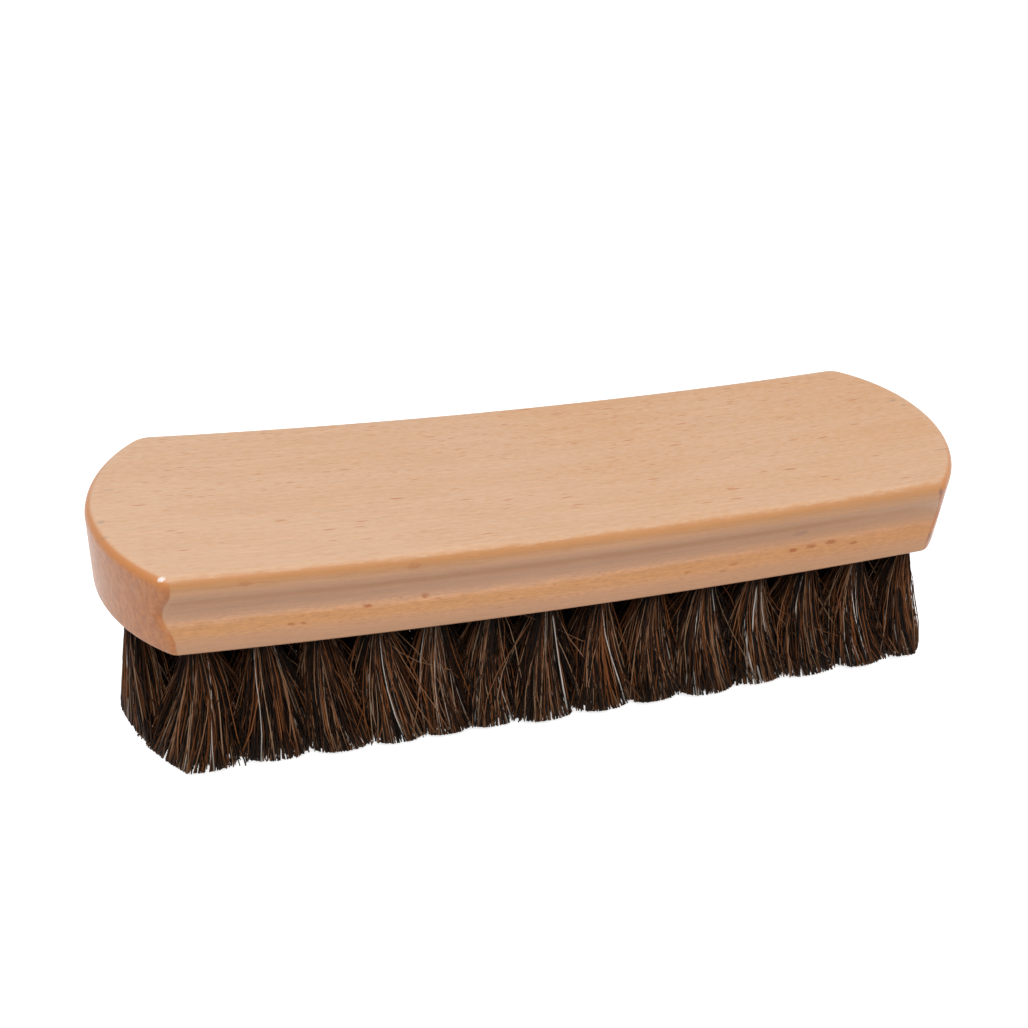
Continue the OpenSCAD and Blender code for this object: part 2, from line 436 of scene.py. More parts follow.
@dataclass(frozen=True)
class BeechFinish:
    """Steamed beech under satin lacquer. Colours are linear, sizes in millimetres."""

    bend: Bend = Bend()
    face: Colour = (0.7, 0.425, 0.256)
    face_warm: Colour = (0.67, 0.365, 0.18)
    face_pale: Colour = (0.725, 0.462, 0.295)
    side: Colour = (0.68, 0.36, 0.196)
    foot: Colour = (0.62, 0.32, 0.172)
    grey: Colour = (0.575, 0.318, 0.188)
    line: Colour = (0.4, 0.215, 0.15)
    orange: Colour = (0.59, 0.285, 0.118)
    rim: Colour = (0.56, 0.25, 0.09)
    rust: Colour = (0.43, 0.14, 0.042)
    end: Colour = (0.6, 0.225, 0.062)
    end_dark: Colour = (0.44, 0.138, 0.036)
    end_pale: Colour = (0.56, 0.295, 0.17)
    end_seam: Colour = (0.5, 0.16, 0.056)
    ray: Colour = (0.54, 0.172, 0.055)
    roughness: float = 0.42
    roughness_spread: float = 0.07
    specular: float = 0.4
    coat: float = 0.18
    coat_roughness: float = 0.12
    fibre_height: float = 0.35
    bump: float = 0.35
    bump_depth: float = 0.08
    marks: tuple[Mark, ...] = (
        Mark(47.1, -11.3, 0.0, (1.7, 0.22, 1.0), (0.42, 0.12, 0.04), 0.85),
        Mark(80.2, 7.1, 0.0, (0.9, 0.35, 1.0), (0.19, 0.14, 0.13), 0.5),
        Mark(81.3, 4.7, 0.0, (0.6, 0.4, 1.0), (0.23, 0.18, 0.17), 0.5),
        Mark(-82.2, -5.2, 0.0, (0.8, 0.5, 1.0), (0.23, 0.18, 0.15), 0.34),
        Mark(-81.9, -9.7, 0.0, (1.2, 0.5, 1.0), (0.26, 0.19, 0.15), 0.25),
        Mark(-80.5, 4.7, 0.0, (1.1, 0.35, 1.0), (0.28, 0.2, 0.16), 0.28),
        Mark(80.2, -12.7, 0.0, (2.6, 0.1, 1.5), (0.2, 0.09, 0.05), 0.75),
        Mark(43.9, -22.9, 10.8, (1.1, 2.5, 0.42), (0.39, 0.115, 0.032), 0.9),
        Mark(47.7, -22.8, 10.6, (1.3, 2.5, 0.38), (0.4, 0.125, 0.036), 0.8),
        Mark(52.0, -22.7, 10.4, (1.4, 2.5, 0.45), (0.39, 0.115, 0.032), 0.8),
        Mark(56.7, -23.2, 11.3, (1.0, 2.5, 0.32), (0.4, 0.125, 0.036), 0.8),
        Mark(31.5, -23.2, 11.6, (1.2, 2.5, 0.32), (0.42, 0.14, 0.042), 0.6),
        Mark(22.0, -23.2, 11.8, (0.9, 2.5, 0.3), (0.42, 0.14, 0.042), 0.6),
        Mark(45.3, -22.3, 7.4, (2.0, 2.5, 0.75), (0.38, 0.19, 0.13), 0.45),
        Mark(-38.7, -22.7, 10.3, (0.9, 2.5, 0.4), (0.42, 0.13, 0.038), 0.85),
        Mark(-28.4, -22.5, 9.7, (0.9, 2.5, 0.5), (0.44, 0.15, 0.045), 0.75),
        Mark(-52.2, -23.3, 11.9, (0.7, 2.5, 0.28), (0.42, 0.13, 0.04), 0.8),
        Mark(-50.0, -23.4, 12.0, (0.7, 2.5, 0.3), (0.42, 0.13, 0.04), 0.75),
        Mark(-30.8, -23.7, 1.8, (1.6, 2.5, 0.8), (0.5, 0.19, 0.065), 0.6),
        Mark(-59.9, -23.7, 1.9, (1.4, 2.5, 0.55), (0.5, 0.19, 0.065), 0.55),
        # Painted highlight: a small white glint on the rounded front left corner of the top, drawn as a pale
        # spot.
        Mark(-73.4, -22.3, 0.45, (0.8, 0.5, 0.6), (0.94, 0.88, 0.83), 0.85),
        Mark(73.6, -23.3, 2.0, (0.7, 0.9, 0.9), (0.18, 0.095, 0.08), 0.6),
        Mark(73.8, -23.3, 13.0, (0.6, 0.9, 1.3), (0.18, 0.095, 0.08), 0.65),
    )

    def grain_space(self) -> None:
        """Builds the group that turns object coordinates into grain coordinates in millimetres."""
        w, given, made = new_group("grain_space", {"Object": "Vector"}, {"Grain": "Vector", "Depth": "Float"})
        at = w.add("SeparateXYZ", {0: w.vector("SCALE", given["Object"], scale=1 / MM)}).outputs
        drop = w.math("SUBTRACT", self.bend.axis_z, at["Z"])
        radius = w.math("SQRT", w.plus(w.times(at["X"], at["X"]), w.times(drop, drop)))
        depth = w.math("SUBTRACT", radius, self.bend.top_r)
        along = w.times(w.math("ARCTAN2", at["X"], drop), self.bend.top_r)
        w.feed(made["Grain"], w.add("CombineXYZ", {0: along, 1: at["Y"], 2: depth}).outputs[0])
        w.feed(made["Depth"], depth)

    def fleck_field(self) -> None:
        """Builds the group that scatters small spindles along the grain: the cut ends of the rays."""
        w, given, made = new_group(
            "fleck_field",
            {"Grain": "Vector", "Cell": "Vector", "Size": "Float", "Share": "Float", "Ragged": "Float"},
            {"Mask": "Float"},
        )
        wander = w.vector("SCALE", w.wobble(given["Grain"], 0.9), scale=given["Ragged"])
        cells = w.vector("DIVIDE", w.vector("ADD", given["Grain"], wander), given["Cell"])
        spot = w.add("TexVoronoi", {"Vector": cells, "Scale": 1.0, "Randomness": 1.0}, feature="F1")
        draw = w.add("SeparateColor", {0: spot.outputs["Color"]}).outputs
        radius = w.times(given["Size"], w.between(draw[1], 0.5, 1.3))
        inside = w.math("SUBTRACT", 1.0, w.math("DIVIDE", spot.outputs["Distance"], radius), clamp=True)
        chosen = w.math("LESS_THAN", draw[0], given["Share"])
        strength = w.between(draw[2], 0.25, 1.0)
        w.feed(made["Mask"], w.times(w.smooth(inside, 0.0, 0.6), chosen, strength))

    def mark_spot(self) -> None:
        """Builds the group that masks one soft, ragged mark at a place in the grain."""
        w, given, made = new_group(
            "mark_spot", {"Grain": "Vector", "Place": "Vector", "Size": "Vector"}, {"Mask": "Float"}
        )
        ragged = w.vector("SCALE", w.wobble(given["Grain"], 2.2), scale=1.3)
        apart = w.vector("DIVIDE", w.vector("SUBTRACT", given["Grain"], given["Place"]), given["Size"])
        w.feed(made["Mask"], w.smooth(w.vector("LENGTH", w.vector("ADD", apart, ragged)), 1.15, 0.45))

    def flecks(
        self, w: NodeWriter, grain: Socket, ragged: float, cell: Triple, size: float, share: float
    ) -> Socket:
        """Masks spindles of a size in a share of the cells, with edges as ragged as asked."""
        inputs = {"Grain": grain, "Ragged": ragged, "Cell": cell, "Size": size, "Share": share}
        return w.add("group:fleck_field", inputs).outputs[0]

    def bands(self, w: NodeWriter, grain: Socket, depth: Socket) -> tuple[Socket, Socket]:
        """Colours the sides in layers a few millimetres thick, with fibrous edges.

        Args:
            w: The material's writer.
            grain: Grain coordinates.
            depth: Depth below the top.

        Returns:
            The colour, and the depth into the layers.
        """
        sway = w.grained(grain, (70.0, 26.0, 30.0))
        fray = w.grained(grain, (6.0, 0.9, 0.45), 5.0, 4.0, 0.62)
        layer = w.plus(depth, w.between(sway, -0.7, 0.7), w.between(fray, -1.1, 1.1))
        colour = w.ramp(
            w.math("DIVIDE", layer, self.bend.thick),
            (
                (0.0, self.face), (0.04, self.rim), (0.105, self.orange), (0.18, self.side),
                (0.3, self.side), (0.4, self.side), (0.47, self.grey), (0.57, self.grey),
                (0.61, self.side), (0.65, self.orange), (0.72, self.orange), (0.82, self.foot),
                (1.0, self.foot),
            ),
        )
        return colour, layer

    def build(self) -> Material:
        """Builds the material."""
        self.grain_space()
        self.fleck_field()
        self.mark_spot()
        material, w, shader = new_material("beech_satin_lacquer")
        space = w.add("group:grain_space", {"Object": w.add("TexCoord").outputs["Object"]}).outputs
        grain, depth = space["Grain"], space["Depth"]
        facing = w.add("SeparateXYZ", {0: w.add("TexCoord").outputs["Normal"]}).outputs
        place = w.add("SeparateXYZ", {0: grain}).outputs
        to_right = (place["X"], -10.0, 60.0, 0.0)

        # Where the surface looks: up, out of an end, or out of a side. The top's edge is frayed.
        outward = w.math("ABSOLUTE", facing["X"])
        on_end = w.smooth(outward, 0.12, 0.26)
        frayed = w.between(w.grained(grain, (2.4, 0.8, 0.8), 0.0, 3.0, 0.6), -0.25, 0.25)
        frayed = w.times(frayed, w.between(on_end, 1.0, 0.15), w.smooth(facing["Z"], 0.995, 0.96))
        on_top = w.smooth(w.plus(facing["Z"], frayed, w.times(on_end, 0.22)), 0.7, 0.97)
        on_side = w.inverse(w.math("MAXIMUM", on_end, on_top))

        # The flat-cut face: honey and pale clouds, warmer to the right and the back.
        drift = w.plus(w.times(place["X"], 0.0032), w.times(place["Y"], 0.007))
        broad = w.grained(grain, (30.0, 6.0, 3.0), 3.0, 3.0)
        clouds = w.grained(grain, (2.0, 0.5, 0.7), 21.0, 3.0, 0.65)
        warm = w.plus(drift, broad, w.between(clouds, -1.1, 1.1))
        top = w.mix(w.smooth(warm, 0.38, 1.05), self.face, self.face_warm)
        top = w.mix(w.smooth(warm, 0.42, 0.05), top, self.face_pale)
        sides, layer = self.bands(w, grain, depth)
        sides = w.mix(w.smooth(*to_right, 0.4), sides, self.orange)
        colour = w.mix(on_top, sides, top)

        # Fibres: long thin streaks, and on the sides the short slanting ripple of cut rays.
        fibre = w.grained(grain, (4.5, 0.17, 0.17), 0.0, 3.0, 0.7)
        streak = w.grained(grain, (16.0, 0.7, 0.42), 9.0)
        ripple = w.noise(w.slanted(grain, (0.0, -14.0, 0.0), (0.85, 0.5, 3.6)), 1.0, 2.0, 0.6)
        deep = w.times(w.smooth(layer, 8.6, 10.2), w.smooth(layer, 14.4, 12.4))
        ripple = w.times(w.between(ripple, -0.25, 0.25), on_side, w.between(deep, 0.4, 1.0))
        tone = w.plus(w.between(fibre, 0.9, 1.1), w.between(streak, -0.1, 0.1), ripple)
        colour = w.shade(colour, tone)

        # A few purplish grey lines run along the middle of the sides.
        thread = w.smooth(w.grained(grain, (11.0, 1.6, 0.2), 31.0, 3.0, 0.55), 0.56, 0.68)
        middle = w.times(w.smooth(depth, 2.6, 4.2), w.smooth(depth, 10.5, 8.5))
        colour = w.mix(w.times(w.times(thread, middle), on_side, 0.2), colour, self.line)

        # Rays: fine reddish dashes on the top in drifts, and ragged rust-coloured flecks low on the sides.
        crowd = w.plus(w.grained(grain, (26.0, 6.0, 6.0), 40.0), w.times(place["Y"], 0.01))
        crowd = w.smooth(crowd, 0.3, 0.62)
        fine = self.flecks(w, grain, 0.16, (3.1, 0.3, 2.2), 0.33, 0.85)
        long = self.flecks(w, grain, 0.16, (6.5, 0.75, 3.5), 0.24, 0.46)
        dash = w.math("MAXIMUM", w.times(fine, crowd), long)
        dash = w.times(dash, w.between(on_top, 0.15, 1.0), w.inverse(on_end), 0.85)
        colour = w.mix(dash, colour, self.ray)
        flake = self.flecks(w, grain, 1.0, (2.2, 6.0, 0.6), 0.36, 0.42)
        colour = w.mix(w.times(flake, deep, on_side, 0.62), colour, self.rust)
        colour = w.mix(w.times(w.times(deep, on_side), w.smooth(*to_right, 0.12)), colour, self.rust)

        # End grain: redder and a little darker, with faint slanting streaks where fibres are cut across.
        cut = w.noise(w.slanted(grain, (32.0, 0.0, 0.0), (0.5, 1.3, 0.5)), 1.0, 4.0, 0.65)
        pores = w.grained(grain, (0.5, 0.3, 0.3))
        cut = w.smooth(w.plus(cut, w.between(pores, -0.125, 0.125)), 0.3, 0.72)
        pale = w.smooth(w.grained(grain, (1.5, 2.2, 1.4), 50.0, 3.0, 0.6), 0.5, 0.75, 0.0, 0.45)
        ends = w.mix(pale, w.mix(cut, self.end_dark, self.end), self.end_pale)
        colour = w.mix(w.times(on_end, w.inverse(on_top)), colour, ends)

        # Lacquer gathers along the top edge and reddens the end grain at the corners.
        blotch = w.math("MAXIMUM", on_end, w.smooth(w.plus(clouds, streak), 0.75, 1.15, 0.15, 1.0))
        edge = w.times(w.smooth(depth, 0.02, 0.45), w.smooth(depth, 2.3, 0.7), blotch)
        edge = w.times(edge, w.between(on_end, 0.62, 0.92))
        colour = w.mix(edge, colour, w.mix(on_end, self.rim, self.end))
        seam = w.times(w.smooth(outward, 0.12, 0.28), w.smooth(outward, 0.55, 0.36))
        seam = w.times(seam, w.between(clouds, 0.1, 1.0), w.smooth(place["X"], 30.0, -30.0, 0.3, 1.0))
        seam = w.times(seam, w.smooth(facing["Z"], 0.45, 0.1), 0.42)
        colour = w.mix(seam, colour, self.end_seam)
        # Small marks and flaws in the wood, and one painted highlight at the front left corner of the top.
        for mark in self.marks:
            at = (mark.along, mark.across, mark.depth)
            spot = w.add("group:mark_spot", {"Grain": grain, "Place": at, "Size": mark.size}).outputs[0]
            colour = w.mix(w.times(spot, mark.strength), colour, mark.colour)
        height = w.times(fibre, self.fibre_height)
        bump = w.add("Bump", {"Strength": self.bump, "Distance": self.bump_depth * MM, "Height": height})
        spread = self.roughness_spread
        w.fill(shader, {
            "Base Color": colour,
            "Roughness": w.between(broad, self.roughness - spread, self.roughness + spread),
            "Specular IOR Level": self.specular,
            "Coat Weight": self.coat,
            "Coat Roughness": self.coat_roughness,
            "Normal": bump.outputs[0],
        })
        return material


@dataclass(frozen=True)
class HorsehairFinish:
    """Mixed natural horsehair, from black through chestnut to grey. Colours are linear."""

    black: Colour = (0.006, 0.0045, 0.004)
    dark: Colour = (0.014, 0.008, 0.0055)
    brown: Colour = (0.052, 0.019, 0.008)
    chestnut: Colour = (0.25, 0.086, 0.028)
    tan: Colour = (0.31, 0.19, 0.115)
    white: Colour = (0.56, 0.5, 0.455)
    roughness: float = 0.45
    specular: float = 0.06
    wear: float = 0.04

    def build(self) -> Material:
        """Builds the material, which reads each hair's tone, with painted shade on the inner rows, and its
        place along it.
        """
        material, w, shader = new_material("horsehair")
        tone = w.add("Attribute", attribute_name="tone").outputs["Fac"]
        along = w.add("Attribute", attribute_name="along").outputs["Fac"]
        colour = w.ramp(
            tone,
            (
                (0.0, self.black), (0.42, self.dark), (0.63, self.brown), (0.83, self.chestnut),
                (0.91, self.tan), (0.958, self.tan), (0.962, self.white), (1.0, self.white),
            ),
        )
        colour = w.mix(w.times(w.smooth(along, 0.75, 1.0), self.wear), colour, self.tan)
        # Painted shade: each hair is drawn darker towards its root, down to half its colour there, where the
        # block shades it.
        colour = w.shade(colour, w.smooth(along, 0.0, 0.5, 0.5, 1.0))
        w.fill(shader, {
            "Base Color": colour,
            "Roughness": self.roughness,
            "Specular IOR Level": self.specular,
        })
        return material


@dataclass(frozen=True)
class StapleFinish:
    """Drawn steel wire with faint die marks along it."""

    steel: Colour = (0.56, 0.55, 0.53)
    dull: Colour = (0.36, 0.35, 0.33)

    def build(self) -> Material:
        """Builds the material."""
        material, w, shader = new_material("staple_wire")
        at = w.vector("SCALE", w.add("TexCoord").outputs["Object"], scale=1 / MM)
        marks = w.grained(at, (0.12, 0.12, 2.5), 0.0, 3.0)
        colour = w.mix(w.smooth(marks, 0.4, 0.7), self.steel, self.dull)
        w.fill(shader, {"Base Color": colour, "Roughness": w.between(marks, 0.22, 0.52), "Metallic": 1.0})
        return material


@dataclass
class Block:
    """The beech block. Sizes are in millimetres."""

    drilling: Drilling
    end_r: float = 31.7
    corner_r: float = 3.0
    corner_more: float = 2.5
    corner_fade: float = 6.0
    skew: float = 0.055
    skew_from: float = 60.0
    skew_run: float = 14.0
    edge_r: float = 2.0
    foot_r: float = 0.7
    foot_in: float = 0.8
    groove_depth: float = 1.5
    groove_h: float = 11.0
    side_steps: int = 28
    corner_steps: int = 8
    end_steps: int = 40
    edge_rings: int = 8
    groove_rings: int = 20
    foot_rings: int = 6
    hold: float = 0.7
    bit_over: float = 2.0
    bit_sides: int = 24
    smooth_angle: float = 32.0

    def outline(self, depth: float, inset: float) -> list[tuple[float, float]]:
        """The unbent block's outline at one depth.

        Args:
            depth: Distance below the top.
            inset: How far a rounded edge draws it in.

        Returns:
            Points (along, across), counter-clockwise from the front left corner.
        """
        bend = self.drilling.bend
        groove = 0.0
        t = (depth - bend.thick / 2) / self.groove_h + 0.5
        if 0 < t < 1:
            groove = self.groove_depth * (1 - math.cos(math.tau * t)) / 2
        half = self.drilling.width / 2 - inset - groove
        r = self.end_r - inset - self.foot_in * depth / bend.thick
        centre = bend.tip - self.end_r
        rounder = self.corner_more * max(0.0, 1 - depth / self.corner_fade) ** 2
        fillet = max(self.corner_r + rounder - inset, 0.4)
        reach = r - fillet
        at_y = half - fillet
        at_x = centre + math.sqrt(reach * reach - at_y * at_y)
        turn = math.atan2(at_y, at_x - centre)
        quarter: list[tuple[float, float]] = []
        for k in range(self.side_steps + 1):
            quarter.append((at_x * k / self.side_steps, half))
        for k in range(1, self.corner_steps + 1):
            a = math.pi / 2 + (turn - math.pi / 2) * k / self.corner_steps
            quarter.append((at_x + fillet * math.cos(a), at_y + fillet * math.sin(a)))
        for k in range(1, self.end_steps + 1):
            a = turn * (1 - k / self.end_steps)
            quarter.append((centre + r * math.cos(a), r * math.sin(a)))
        back_left = [(-x, y) for x, y in quarter[1:]]
        front = [(x, -y) for x, y in reversed(back_left[:-1])] + [(x, -y) for x, y in quarter]
        return front + quarter[-2::-1] + back_left

    def levels(self) -> list[tuple[float, float]]:
        """Depths and insets from the middle of the top down to the middle of the underside."""
        thick = self.drilling.bend.thick
        found = [(0.0, self.edge_r + self.hold)]
        for k in range(self.edge_rings + 1):
            a = math.pi / 2 * k / self.edge_rings
            found.append((self.edge_r * (1 - math.cos(a)), self.edge_r * (1 - math.sin(a))))
        top, low = (thick - self.groove_h) / 2, (thick + self.groove_h) / 2
        found += [(top + (low - top) * k / self.groove_rings, 0.0) for k in range(self.groove_rings + 1)]
        for k in range(self.foot_rings + 1):
            a = math.pi / 2 * k / self.foot_rings
            found.append((thick - self.foot_r * (1 - math.sin(a)), self.foot_r * (1 - math.cos(a))))
        return found + [(thick, self.foot_r + self.hold)]

    def place(self, verts: list[Any], depth: float, inset: float) -> None:
        """Puts one loop of vertices on the outline at a depth."""
        for v, (x, y) in zip(verts, self.outline(depth, inset)):
            v.co = (x, y, depth)

    def blank(self) -> Object:
        """Draws the outline down from the top, closes both faces and bends the result.

        Returns:
            The undrilled block.
        """
        levels = self.levels()
        count = len(self.outline(*levels[0]))
        deselect()
        bpy.ops.mesh.primitive_circle_add(vertices=count, radius=1.0, fill_type="NOTHING")
        piece = bpy.context.object
        bpy.ops.object.mode_set(mode="EDIT")
        bpy.ops.mesh.select_all(action="SELECT")
        mesh = bmesh.from_edit_mesh(piece.data)
        mesh.verts.ensure_lookup_table()
        loop = list(mesh.verts)
        self.place(loop, *levels[0])
        for level in levels[1:]:
            old = [tuple(v.co) for v in loop]
            bpy.ops.mesh.extrude_edges_move()
            mesh = bmesh.from_edit_mesh(piece.data)
            by_place = {tuple(v.co): v for v in mesh.verts if v.select}
            loop = [by_place[at] for at in old]
            self.place(loop, *level)
        mesh.verts.ensure_lookup_table()
        mesh.verts.index_update()
        for level in (levels[0], levels[-1]):
            self.close(mesh, *level)
        bmesh.update_edit_mesh(piece.data)
        face_outward()
        self.bow(piece)
        return piece

    def close(self, mesh: Any, depth: float, inset: float) -> None:
        """Closes one face with strips across the block.

        Args:
            mesh: The block's edit mesh.
            depth: The face's depth.
            inset: How far its edge is drawn in.
        """
        points = self.outline(depth, inset)
        tree = kdtree.KDTree(len(mesh.verts))
        for v in mesh.verts:
            tree.insert(v.co, v.index)
        tree.balance()
        ring = [mesh.verts[tree.find((x, y, depth))[1]] for x, y in points]
        half = len(ring) // 2
        left = min(range(len(ring)), key=lambda k: points[k][0])
        ring = ring[left:] + ring[:left]
        front, back = ring[: half + 1], [ring[0], *ring[:half - 1:-1]]
        for k in range(half):
            strip = [front[k], front[k + 1], back[k + 1], back[k]]
            mesh.faces.new(list(dict.fromkeys(strip)))

    def bow(self, piece: Object) -> None:
        """Skews the front left corner, bends the block and turns millimetres to metres.

        Args:
            piece: The straight block.
        """
        flat = np.zeros(len(piece.data.vertices) * 3)
        piece.data.vertices.foreach_get("co", flat)
        flat = flat.reshape(-1, 3)
        front = np.minimum(flat[:, 1], 0.0)
        left = np.clip((-flat[:, 0] - self.skew_from) / self.skew_run, 0, 1)
        flat[:, 0] -= self.skew * front * left
        piece.data.vertices.foreach_set("co", (self.drilling.bend.bent(flat) * MM).ravel())
        piece.data.update()

    def drill(self) -> Object:
        """Makes one bit for every tuft hole.

        Returns:
            All bits as one object.
        """
        bits = []
        d = self.drilling
        run = d.hole_depth + self.bit_over
        for row in Row:
            for i in range(1, d.count(row) + 1):
                place, axes = d.root(row, i)
                middle = place - axes[:, 2] * (run / 2 - self.bit_over)
                deselect()
                bpy.ops.mesh.primitive_cylinder_add(
                    vertices=self.bit_sides, radius=d.hole_d / 2 * MM, depth=run * MM
                )
                bit = bpy.context.object
                turn = Matrix(axes.tolist()).to_4x4()
                bit.data.transform(Matrix.Translation(Vector(middle * MM)) @ turn)
                bits.append(bit)
        deselect()
        for bit in bits:
            bit.select_set(True)
        bpy.context.view_layer.objects.active = bits[0]
        bpy.ops.object.join()
        bit = bpy.context.object
        make_active(bit)
        face_outward()
        return bit

    def build(self, material: Material) -> None:
        """Builds the block, drills it and dresses it."""
        piece = self.blank()
        bits = self.drill()
        make_active(piece)
        holes = piece.modifiers.new("holes", "BOOLEAN")
        holes.operation, holes.solver, holes.object = "DIFFERENCE", "EXACT", bits
        bpy.ops.object.modifier_apply(modifier=holes.name)
        bpy.data.objects.remove(bits)
        make_active(piece)
        bpy.ops.object.shade_smooth_by_angle(angle=math.radians(self.smooth_angle))
        settle(piece, "beech_block", material, ["block"])


@dataclass
class Tufts:
    """The horsehair. Sizes are in millimetres. Tables by tuft are for the front row, from the left."""

    drilling: Drilling
    hair_len: float = 24.0
    hair_r: float = 0.115
    thinnest: float = 0.74
    thicker: float = 0.42
    white_r: float = 1.3
    loose_r: float = 0.7
    taper: Triple = (1.0, 0.95, 1.35)
    steps: tuple[float, ...] = (-1.2, 0.05, 0.2, 0.38, 0.57, 0.78, 1.0)
    front_hairs: int = 1150
    back_hairs: int = 750
    inner_hairs: int = 370
    clear: float = 0.12
    trim_rise: float = 1.5
    stand_cut: float = 0.5
    trim_rough: float = 0.05
    dome: float = 0.016
    bundle: float = 0.82
    fan: float = 6.3
    fan_varies: float = 0.3
    lean_varies: float = 0.5
    lean: tuple[float, ...] = (0.0, 2.1, 3.1, 2.8, 1.0, -1.0, -1.5, -0.7, -1.1, -0.8, -0.4, 0.0, 1.1, 1.3)
    spread: tuple[float, ...] = (6.9, 7.2, 6.7, 6.2, 6.0, 6.1, 6.9, 6.8, 6.3, 7.0, 6.4, 7.0, 6.9, 6.5)
    deep: float = 5.6
    front_deep: float = 6.7
    deeper: tuple[float, ...] = (0.0, 0.0, 0.5, 0.8, 0.7, 0.7, 1.8, 1.5, 1.2, 1.8, 0.8, 0.8, 0.7, 0.0)
    end_more: float = 3.0
    corner_more: float = 2.4
    crowding: float = 0.5
    outer_crowding: float = 0.38
    square: float = 3.2
    scatter: float = 0.2
    scatter_more: float = 0.65
    sway_x: tuple[float, ...] = (-68.8, -58.0, -47.0, -4.0, 40.0, 72.0)
    sway: tuple[float, ...] = (0.9, 0.3, -0.5, -0.8, -1.4, -1.4)
    last_sway: float = -1.3
    root_sway: float = 0.35
    end_sway: tuple[float, float] = (-1.3, 0.3)
    left_foot: Triple = (84.3, 0.0145, 2.2)
    right_foot: Triple = (79.8, 0.002, 1.5)
    corner_from: float = 22.5
    corner_cut: float = 0.1
    bundle_out: float = 1.9
    front_bow: float = 1.3
    crossing_share: float = 0.24
    first_crossing: float = 1.6
    crossing_far: float = 3.6
    crossing_lift: float = 0.4
    loose_share: float = 0.014
    loose_far: float = 6.0
    loose_lift: float = 12.0
    inner_reach: float = 9.0
    white_share: float = 0.015
    white_run: float = 80.0
    white_tone: float = 0.97
    first_tone: float = 0.75
    inner_shade: float = 0.45

    def trim(self, x: Array) -> Array:
        """Height of the trimmed face over the floor."""
        rise = self.trim_rise * (x / (self.drilling.bend.length / 2)) ** 2
        return np.maximum(self.clear, rise - self.stand_cut)

    def foot(self, end: Array) -> Array:
        """How far from the middle the tips may lie, at their places across the brush.

        Args:
            end: Each tip's place.

        Returns:
            Each tip's limit on its side of the middle.
        """
        y = end[:, 1]
        back = np.clip((y + 8.0) / 10.0, 0.0, 1.0)
        left, right = (
            reach - rounding * y ** 2 - drawn_in * back
            for reach, rounding, drawn_in in (self.left_foot, self.right_foot)
        )
        right = right - self.corner_cut * np.maximum(0.0, -y - self.corner_from) ** 2
        return np.where(end[:, 0] < 0, left, right)

    def depths(self, row: Row, i: int) -> tuple[float, float]:
        """How far one tuft's tips spread.

        Args:
            row: The tuft's row.
            i: Its number from the left.

        Returns:
            The spread to the front and to the back.
        """
        before = self.front_deep + self.deeper[i - 1] if row is Row.FRONT else self.deep
        if row is Row.SECOND and i == 1:
            before += self.corner_more
        return before, self.front_deep if row is Row.BACK else self.deep

    def tips(
        self, row: Row, i: int, rng: np.random.Generator, u: Array, turn: Array
    ) -> tuple[Array, Array]:
        """Spreads one tuft's tips across and along the brush.

        Args:
            row: The tuft's row.
            i: Its number from the left.
            rng: The tuft's own draws.
            u: Each hair's share of the tuft inside it.
            turn: Each hair's angle around the tuft.

        Returns:
            Tips (right, back) from the tuft's axis, and the tuft's middle.
        """
        n = len(u)
        front = row is Row.FRONT
        lean = self.lean[i - 1] if front else rng.normal(0, self.lean_varies)
        wide = self.spread[i - 1] if front else self.fan + rng.normal(0, self.fan_varies)
        x, y = np.cos(turn), np.sin(turn)
        deep = np.where(y < 0, *self.depths(row, i))
        crowding = self.outer_crowding if row.outer else self.crowding
        far = u ** crowding / (np.abs(x) ** self.square + np.abs(y) ** self.square) ** (1 / self.square)
        spread = np.stack([far * x, far * y], 1)
        spread += rng.normal(0, 1, (n, 2)) * (self.scatter + self.scatter_more * rng.random((n, 1)) ** 2)
        reach = (np.abs(spread) ** self.square).sum(1) ** (1 / self.square)
        spread *= (np.minimum(reach, 1.0 - 0.05 * rng.random(n)) / reach)[:, None]
        side = np.where(x < 0, -1, 1)
        toward_end = -1 if i == 1 else 1 if i == self.drilling.count(row) else 0
        tip = spread * np.stack([wide + self.end_more * (side == toward_end), deep], 1)
        tip[:, 0] += lean
        return tip, np.array([lean, 0.0])

    def strands(self, row: Row, i: int) -> Hairs:
        """Draws one tuft's hairs.

        Args:
            row: The tuft's row.
            i: Its number from the left.

        Returns:
            Points (hair, step, xyz), each hair's radius and its tone at each step, with painted shade on the
            inner rows.
        """
        rng = np.random.default_rng(1000 * row.value + i)
        d = self.drilling
        place, axes = d.root(row, i)
        right, back, out = axes.T
        front, rear, at_end = row is Row.FRONT, row is Row.BACK, i in (1, d.count(row))
        n = self.front_hairs if front else self.back_hairs if rear or at_end else self.inner_hairs
        u = rng.random(n)
        turn = rng.random(n) * math.tau
        hole = self.bundle * (d.hole_d / 2 - self.hair_r) * np.sqrt(u)
        sway = np.interp(place[0], self.sway_x, self.sway) if front else self.last_sway * (i == d.count(row))
        shift = np.clip(sway, -self.root_sway, self.root_sway)
        root = np.stack([hole * np.cos(turn) + shift, hole * np.sin(turn)], 1)
        tip, middle = self.tips(row, i, rng, u, turn)

        # Some hairs cross their neighbours, and a few are short and loose. None leaves the ends or sides.
        crossing = rng.random(n) < self.crossing_share * (self.first_crossing if i == 1 else 1.0)
        loose = rng.random(n) < self.loose_share
        stray = crossing * self.crossing_far + loose * self.loose_far
        before, behind = self.depths(row, i)
        kept = (-before if front else -self.inner_reach, behind if rear else self.inner_reach)
        tip[:, 0] += stray * rng.normal(0, 1, n)
        tip[:, 1] = np.clip(tip[:, 1] + 0.5 * stray * rng.normal(0, 1, n), *kept)
        end = place + tip[:, :1] * right + tip[:, 1:] * back + self.hair_len * out
        over = np.abs(end[:, 0]) - self.foot(end)
        tip[:, 0] -= np.sign(end[:, 0]) * np.maximum(0.0, over + 0.5 * rng.random(n) * (over > 0))

